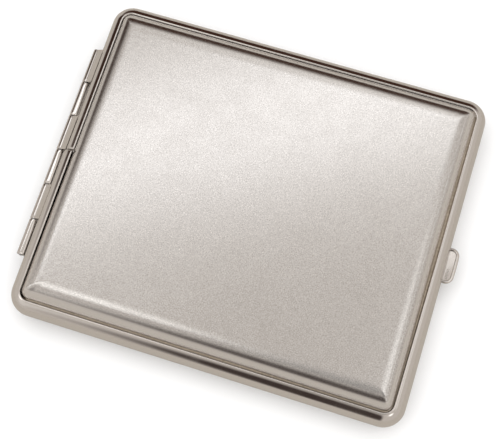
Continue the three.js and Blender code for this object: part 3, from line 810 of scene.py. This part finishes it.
def knuckle_points(low, high, up):
    """Rows along the hinge: the eased end, the length, the other eased end, then the bore back again."""
    ease = arc((0, 0), (1, 1), 0, 90, EASE_MARKS)
    size = 1 - END_ROUND * (1 - ease[:, 1]) / KNUCKLE_RADIUS
    along = END_ROUND * (1 - ease[:, 0])
    between = np.linspace(low + END_ROUND, high - END_ROUND, KNUCKLE_ROWS + 2)[1:-1]
    rows = np.concatenate([low + along, between, high - along[::-1]])
    sizes = np.concatenate([size, np.ones(KNUCKLE_ROWS), size[::-1]])
    barrel = barrel_section(np.interp(rows, [low, high], FLAT_POWERS))
    leaf = leaf_section(barrel[0, 0], barrel[0, -1])
    section = np.concatenate([barrel, np.broadcast_to(leaf, (len(rows),) + leaf.shape)], axis=1)
    outside = sizes[:, None, None] * section
    turn = np.linspace(BARREL_TOP_ANGLE, BARREL_TOP_ANGLE + 360, section.shape[1], endpoint=False)
    angle = np.radians(turn)
    bore = BORE_RADIUS * together(np.cos(angle), np.sin(angle))
    profile = np.concatenate([outside, np.stack([bore, bore])])
    y = np.concatenate([rows, [high, low]])[:, None]
    return together(hinge[0] + profile[..., 0], y, hinge[2] + up * profile[..., 1])


for half_name, up in (("lid", 1), ("base", -1)):
    for number in (1, 2, 3):
        low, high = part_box(f"{half_name}_knuckle_{number}")
        points = knuckle_points(low.y, high.y, up)
        add_piece(
            f"{half_name}_barrel_{number}", [shell(points, round_rows=True, closed_ends=False)],
            [polished_nickel], half_name, [f"{half_name}_knuckle_{number}"],
        )

# %% [markdown]
# One steel pin runs through all six knuckles. Only its rounded ends show, in the bores at both ends of the
# hinge. It is a turned shape: a radius for each place along the axis, carried round the axis.

# %% Hinge pin
PIN_DOME = 0.25 * MM
PIN_AROUND = 28
DOME_START = 8
DOME_MARKS = 8


def turned(axis, along, radius):
    """A round shape on an axis along Y: the radius at each place, carried round the axis."""
    angle = np.linspace(0, 2 * np.pi, PIN_AROUND, endpoint=False)
    x = axis[0] + radius[:, None] * np.cos(angle)
    z = axis[2] + radius[:, None] * np.sin(angle)
    return together(x, along[:, None], z)


pin_low, pin_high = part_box("hinge_pin")
pin_radius = (pin_high.x - pin_low.x) / 2
dome_radii, dome_rise = arc((0, 0), (pin_radius, PIN_DOME), DOME_START, 90, DOME_MARKS)[::-1].T
pin_along = np.concatenate([pin_low.y + PIN_DOME - dome_rise, (pin_high.y - PIN_DOME + dome_rise)[::-1]])
pin_radii = np.concatenate([dome_radii, dome_radii[::-1]])
rod = shell(turned(hinge, pin_along, pin_radii))
add_piece("hinge_rod", [rod], [drawn_steel], "base", ["hinge_pin"])

# %% [markdown]
# The small fittings are bent from strip. A strip follows a line with rounded bends in one plane, has a
# thickness that may taper, and a width across that plane. Its section is a rectangle with eased edges.

# %% Bent strip
STRIP_EDGE = 0.08 * MM
STRIP_EDGE_SHARE = 0.8
STRIP_EDGE_MARKS = 4
STUD_TOP = 84


def bent_line(corners, radius, steps=8):
    """A line through corners whose bends are rounded: near each inner corner it follows a curve that starts
    and ends at the same distance from the corner and is pulled towards it."""
    corners = np.asarray(corners, float)
    line = [corners[:1]]
    share = np.linspace(0, 1, steps)[:, None]
    for before, corner, after in zip(corners[:-2], corners[1:-1], corners[2:]):
        start = corner + (before - corner) * min(radius / np.linalg.norm(before - corner), 0.5)
        end = corner + (after - corner) * min(radius / np.linalg.norm(after - corner), 0.5)
        line.append(curve(start, corner, end, share))
    line.append(corners[-1:])
    return np.concatenate(line)


def strip(line, thickness, low, high, axes):
    """A strip: at each place of the line, a rectangle with eased edges that is as thick as given across the
    line and runs from low to high in the third direction. Axes say which coordinates the line and the
    width take."""
    ahead = np.gradient(line, axis=0)
    ahead /= np.linalg.norm(ahead, axis=1)[:, None]
    across = together(-ahead[:, 1], ahead[:, 0])
    half = (np.broadcast_to(thickness, len(line)) / 2)[:, None]
    edge = np.minimum(STRIP_EDGE, half * STRIP_EDGE_SHARE)
    quarter = np.linspace(0, 90, STRIP_EDGE_MARKS)
    turn = np.radians(np.concatenate([quarter, quarter + 90, quarter + 180, quarter + 270]))
    thick_side = np.repeat([1, -1, -1, 1], STRIP_EDGE_MARKS)
    wide_side = np.repeat([1, 1, -1, -1], STRIP_EDGE_MARKS)
    depth = thick_side * (half - edge) + edge * np.cos(turn)
    width = (low + high) / 2 + wide_side * ((high - low) / 2 - edge) + edge * np.sin(turn)
    place = line[:, None, :] + across[:, None, :] * depth[..., None]
    points = np.empty(depth.shape + (3,))
    points[..., axes] = np.concatenate([place, width[..., None]], axis=-1)
    return shell(points)


def stud(centre, radii, rows=8, columns=16):
    """An egg shape, for rivet heads and small ribs: three radii times the sines and cosines of two
    angles."""
    up = np.radians(np.linspace(-STUD_TOP, STUD_TOP, rows))[:, None]
    around = np.linspace(0, 2 * np.pi, columns, endpoint=False)[None, :]
    x = centre[0] + radii[0] * np.cos(up) * np.cos(around)
    y = centre[1] + radii[1] * np.cos(up) * np.sin(around)
    return shell(together(x, y, centre[2] + radii[2] * np.sin(up)))


print("strip and stud helpers ready")

# %% [markdown]
# The thumb catch is the piece that a thumb presses. Its tab is a small plate with a rolled rim on its three
# free sides and a few fine ribs for grip. Behind it a neck goes through the frame to an arm with a hook,
# and a barrel turns on a pin inside the base frame.

# %% Thumb catch
TAB_GAP = 0.06 * MM
TAB_CORNER = 1.7 * MM
TAB_RIM = 0.72 * MM
TAB_RECESS = 0.35 * MM
TAB_EASE = 0.25 * MM
LEVER_HALF = 2.5 * MM
NECK_START = 0.9 * MM
NECK_THICK = 0.34 * MM
PLATE_SLOPE = np.array([0.12, -0.007])
TAB_BOW = 0.2 * MM
ARM_THICK = 0.5 * MM
NOSE_THICK = 0.4 * MM
NOSE_TIP_THICK = 0.22 * MM
ARM_PLACES = (0, 0.5, 0.9, 1)
ARM_BEND = 0.45 * MM
HOOK_RISE = 1.55 * MM
HOOK_REACH = 0.1 * MM
BARREL_RADIUS = 0.65 * MM
BARREL_BORE = 0.4 * MM
BARREL_END = 1.24 * MM
RIM_CREST = 7
TAB_CORNER_MARKS = 14
TAB_SIDE_MARKS = 12
TAB_EASE_MARKS = 6
RIB_RADII = np.array([0.5, 0.1, 0.1]) * MM
RIB_FADE = np.array([0, 0, 0.007]) * MM
RIB_PITCH = 0.36 * MM
RIB_FIRST = -3.1 * MM
RIB_COUNT = 7

catch_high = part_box("thumb_catch")[1]
tab_inner = frame_high.x + TAB_GAP
tab_plate = base_top - TAB_RECESS
tab_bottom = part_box("catch_bracket")[1].z
plate_middle = (tab_inner + catch_high.x - TAB_RIM) / 2


def tab_section():
    """Offsets from the tab's outside and heights: from the plate over the half-round rim, down the side
    and under."""
    rim = arc((-TAB_RIM / 2, tab_plate), (TAB_RIM / 2, TAB_RECESS), 180, 0, 2 * RIM_CREST + 1)
    under = arc((-TAB_EASE, tab_bottom + TAB_EASE), (TAB_EASE, TAB_EASE), 0, -90, TAB_EASE_MARKS)
    return np.concatenate([rim, under, [[-TAB_RIM, tab_bottom]]])


def tab_points():
    """The tab's grid. Going round, the two outer corners are arcs about fixed centres whose radius shrinks
    with the offset, and the inner side is straight and has no rim. The plate falls a little towards
    the case."""
    offset, height = tab_section().T
    offset, height = offset[:, None], height[:, None]
    half = catch_high.y
    turn = np.radians(np.linspace(0, 90, TAB_CORNER_MARKS))
    radius = TAB_CORNER + offset
    centre_x, centre_y = catch_high.x - TAB_CORNER, half - TAB_CORNER
    side = np.linspace(-1, 1, TAB_SIDE_MARKS)[None, 1:-1] * centre_y
    lower_x, lower_y = centre_x + radius * np.sin(turn), -centre_y - radius * np.cos(turn)
    upper_x, upper_y = centre_x + radius * np.cos(turn), centre_y + radius * np.sin(turn)
    inner_y = np.array([half - TAB_RIM, 0, TAB_RIM - half])[None, :] + 0 * offset
    inner_side_y = np.concatenate([half + offset, inner_y, -half - offset], axis=1)
    outer_x = catch_high.x + offset + 0 * side
    x = np.concatenate([lower_x, outer_x, upper_x, tab_inner + 0 * inner_side_y], axis=1)
    y = np.concatenate([lower_y, side + 0 * offset, upper_y, inner_side_y], axis=1)
    z = np.broadcast_to(height, x.shape).copy()
    no_rim = z[:, -4:-1]
    no_rim[:] = np.minimum(no_rim, tab_plate)
    within_rim = np.clip(1 - np.arange(len(z)) / RIM_CREST, 0, 1)[:, None]
    z += (PLATE_SLOPE[0] * (x - plate_middle) + PLATE_SLOPE[1] * y) * within_rim
    x += TAB_BOW * np.clip((x - tab_inner) / (catch_high.x - tab_inner), 0, 1) * (1 - (y / half) ** 2)
    return together(x, y, z)


neck_height = (tab_plate + tab_bottom) / 2
hook_height = parting + HOOK_RISE
hook_tip = groove_half[0] - HOOK_REACH
neck_line = np.array([(pivot[0], neck_height), (catch_high.x - NECK_START, neck_height)])
arm_line = bent_line(
    [(pivot[0], pivot[2] + BARREL_BORE), (pivot[0], hook_height), (hook_tip, hook_height)],
    ARM_BEND, steps=10,
)
arm_thick = np.interp(
    np.linspace(0, 1, len(arm_line)), ARM_PLACES, [ARM_THICK, ARM_THICK, NOSE_THICK, NOSE_TIP_THICK],
)
barrel_along = np.array([-LEVER_HALF, BARREL_END, BARREL_END, -LEVER_HALF])
barrel_radii = np.array([BARREL_RADIUS, BARREL_RADIUS, BARREL_BORE, BARREL_BORE])
lever = [
    shell(tab_points()),
    strip(neck_line, NECK_THICK, -LEVER_HALF, LEVER_HALF, (0, 2, 1)),
    strip(arm_line, arm_thick, -LEVER_HALF, LEVER_HALF, (0, 2, 1)),
    shell(turned(pivot, barrel_along, barrel_radii), round_rows=True, closed_ends=False),
]
for number in range(RIB_COUNT):
    rib_centre = (plate_middle, RIB_FIRST + number * RIB_PITCH, tab_plate)
    lever.append(stud(rib_centre, RIB_RADII - number * RIB_FADE))
add_piece("catch_lever", lever, [polished_nickel], "catch", ["thumb_catch"])

# %% [markdown]
# The hook goes over a keeper on the lid: an angle of strip, with its plate riveted to the inside of
# the panel's wall and its ledge through the notch.

# %% Keeper
RIVET_RADII = (0.16 * MM, 0.45 * MM, 0.45 * MM)
RIVET_SPACING = 1.5 * MM
RIVET_HEIGHT = 0.72 * MM
STRIKE_WALL = 0.4 * MM
STRIKE_BEND = 0.4 * MM

strike_low, strike_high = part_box("catch_strike")
plate_x, ledge_z = strike_low.x + STRIKE_WALL / 2, strike_low.z + STRIKE_WALL / 2
keeper_corners = [(plate_x, strike_high.z), (plate_x, ledge_z), (strike_high.x, ledge_z)]
keeper_line = bent_line(keeper_corners, STRIKE_BEND)
keeper = [strip(keeper_line, STRIKE_WALL, strike_low.y, strike_high.y, (0, 2, 1))]
for side in (-1, 1):
    rivet_centre = (strike_low.x, side * RIVET_SPACING, strike_high.z - RIVET_HEIGHT)
    keeper.append(stud(rivet_centre, RIVET_RADII))
add_piece("catch_keeper", keeper, [inner_nickel], "lid", ["catch_strike"])

# %% [markdown]
# A woven elastic band across the base holds the cigarettes. It is a flat ribbon of lengthwise cords,
# each a low rounded ridge, bound by a weft that goes over and under them. The ridges are in the mesh, and
# the weft, far finer, is in the material. The ribbon lies straight, because both ends are crimped.

# %% Elastic material
CORD_COUNT = 14
WEFT_PITCH = 0.7 * MM
WEFT_SHARE = 0.6
FUZZ_SCALE = 5000.0
FUZZ_SHARE = 0.8
WEAVE_HEIGHTS = (0.2, 1.7)
WEAVE_ROUGH = (0.95, 0.7)
WEAVE_DEPTH = 40e-6
# Painted shade: the hollows' colour is darker than the crowns' to stand in for the shade between the cords
# and under the weft. The crown colour is the band's own tan.
HOLLOW_SHADE_COLOUR = (0.3, 0.22, 0.11, 1)
CROWN_COLOUR = (0.74, 0.62, 0.4, 1)
SHEEN = 0.25


def elastic_material(cord_pitch):
    """Cords run along Y, with a hollow between each two. The weft is a wave along Y that changes sides from
    one cord to the next. Both set the height, and the hollows are painted darker than the crowns as painted
    shade."""
    material, tree, shader = new_material("woven_elastic")
    place = object_place(tree)
    split = put(tree, "ShaderNodeSeparateXYZ", {0: place})
    cord = math_node(tree, "MULTIPLY", split.outputs["X"], math.pi / cord_pitch)
    weft = math_node(tree, "MULTIPLY", split.outputs["Y"], 2 * math.pi / WEFT_PITCH)
    cord_wave = math_node(tree, "SINE", cord)
    crossing = math_node(tree, "MULTIPLY", cord_wave, math_node(tree, "COSINE", weft))
    crown_of_cord = math_node(tree, "ABSOLUTE", cord_wave)
    woven = math_node(tree, "ADD", math_node(tree, "MULTIPLY", crossing, WEFT_SHARE), crown_of_cord)
    fuzz = math_node(tree, "MULTIPLY", noise(tree, place, FUZZ_SCALE, 3.0), FUZZ_SHARE)
    height = math_node(tree, "ADD", woven, fuzz)
    share = spread(tree, height, *WEAVE_HEIGHTS, 0.0, 1.0)
    bump = put(tree, "ShaderNodeBump", {"Distance": WEAVE_DEPTH, "Height": height})
    feed(tree, shader, {
        "Base Color": blend_colour(tree, share, HOLLOW_SHADE_COLOUR, CROWN_COLOUR), "Sheen Weight": SHEEN,
        "Roughness": spread(tree, share, 0.0, 1.0, *WEAVE_ROUGH), "Normal": bump.outputs["Normal"],
    })
    return material


band_low, band_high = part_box("elastic_band")
band_width = band_high.x - band_low.x
cord_pitch = band_width / CORD_COUNT
woven_elastic = elastic_material(cord_pitch)
print("cords:", CORD_COUNT, "of", round(cord_pitch / MM, 2), "mm")

# %% Elastic band
CORD_RIDGE = 0.06 * MM
BAND_EDGE = 0.3 * MM
CORD_MARKS = 8
BAND_ROWS = 30


def band_points():
    """The ribbon's grid: over the top from edge to edge and back underneath. The height is half the
    thickness, eased to a round at both edges, less the ridges' hollows, which follow a cosine across
    the width."""
    across = np.linspace(1, -1, CORD_COUNT * CORD_MARKS + 1) * band_width / 2
    from_edge = np.clip((band_width / 2 - np.abs(across)) / BAND_EDGE, 0, 1)
    half = (band_high.z - band_low.z) / 2
    wave = np.cos(2 * np.pi * across / cord_pitch + np.pi * (CORD_COUNT + 1))
    hollow = CORD_RIDGE * (1 - wave) / 2
    height = (half - hollow) * np.sqrt(1 - (1 - from_edge) ** 2)
    x = np.concatenate([across, across[-2:0:-1]])
    z = (band_low.z + band_high.z) / 2 + np.concatenate([height, -height[-2:0:-1]])
    y = np.linspace(band_low.y, band_high.y, BAND_ROWS)[:, None]
    return together(x, y, z)


band = add_piece(
    "elastic_ribbon", [shell(band_points())], [woven_elastic], "base", ["elastic_band"],
)

# %% [markdown]
# A folded clip crimps each end of the band and is fixed to the panel's wall behind it. It is a strip bent
# into a C whose lips are pressed down on the band.

# %% Band clips
CLIP_WALL = 0.4 * MM
CLIP_BEND = 0.5 * MM
CLIP_PRESS = 0.8 * MM
CLIP_BACK = 0.2 * MM

for number, side in ((1, 1), (2, -1)):
    clip_low, clip_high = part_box(f"band_clip_{number}")
    mouth, back = sorted((abs(clip_low.y), abs(clip_high.y)))
    half_wall = CLIP_WALL / 2
    back += CLIP_BACK - half_wall
    bottom, top = clip_low.z + half_wall, clip_high.z - half_wall
    lip_low, lip_high = band_low.z - half_wall, band_high.z + half_wall
    corners = np.array([
        (mouth, lip_low), (mouth + CLIP_PRESS, bottom), (back, bottom),
        (back, top), (mouth + CLIP_PRESS, top), (mouth, lip_high),
    ])
    clip_line = bent_line(corners * (side, 1), CLIP_BEND)
    clip = strip(clip_line, CLIP_WALL, clip_low.x, clip_high.x, (1, 2, 0))
    add_piece(
        f"band_grip_{number}", [clip], [inner_nickel], "base", [f"band_clip_{number}"],
    )

# %% [markdown]
# The pieces inside the frames keep their solids: the splices in the beads, and the bracket, pin and
# spring of the catch. They only need their finish.

# %% Inner solids
KEPT = {
    "lid_frame_splice": inner_nickel, "base_frame_splice": inner_nickel, "catch_bracket": inner_nickel,
    "catch_pin": drawn_steel, "catch_spring": drawn_steel,
}
for node, material in KEPT.items():
    for slot in frame["nodes"][node].material_slots:
        slot.material = material
print("finished solids:", list(KEPT))
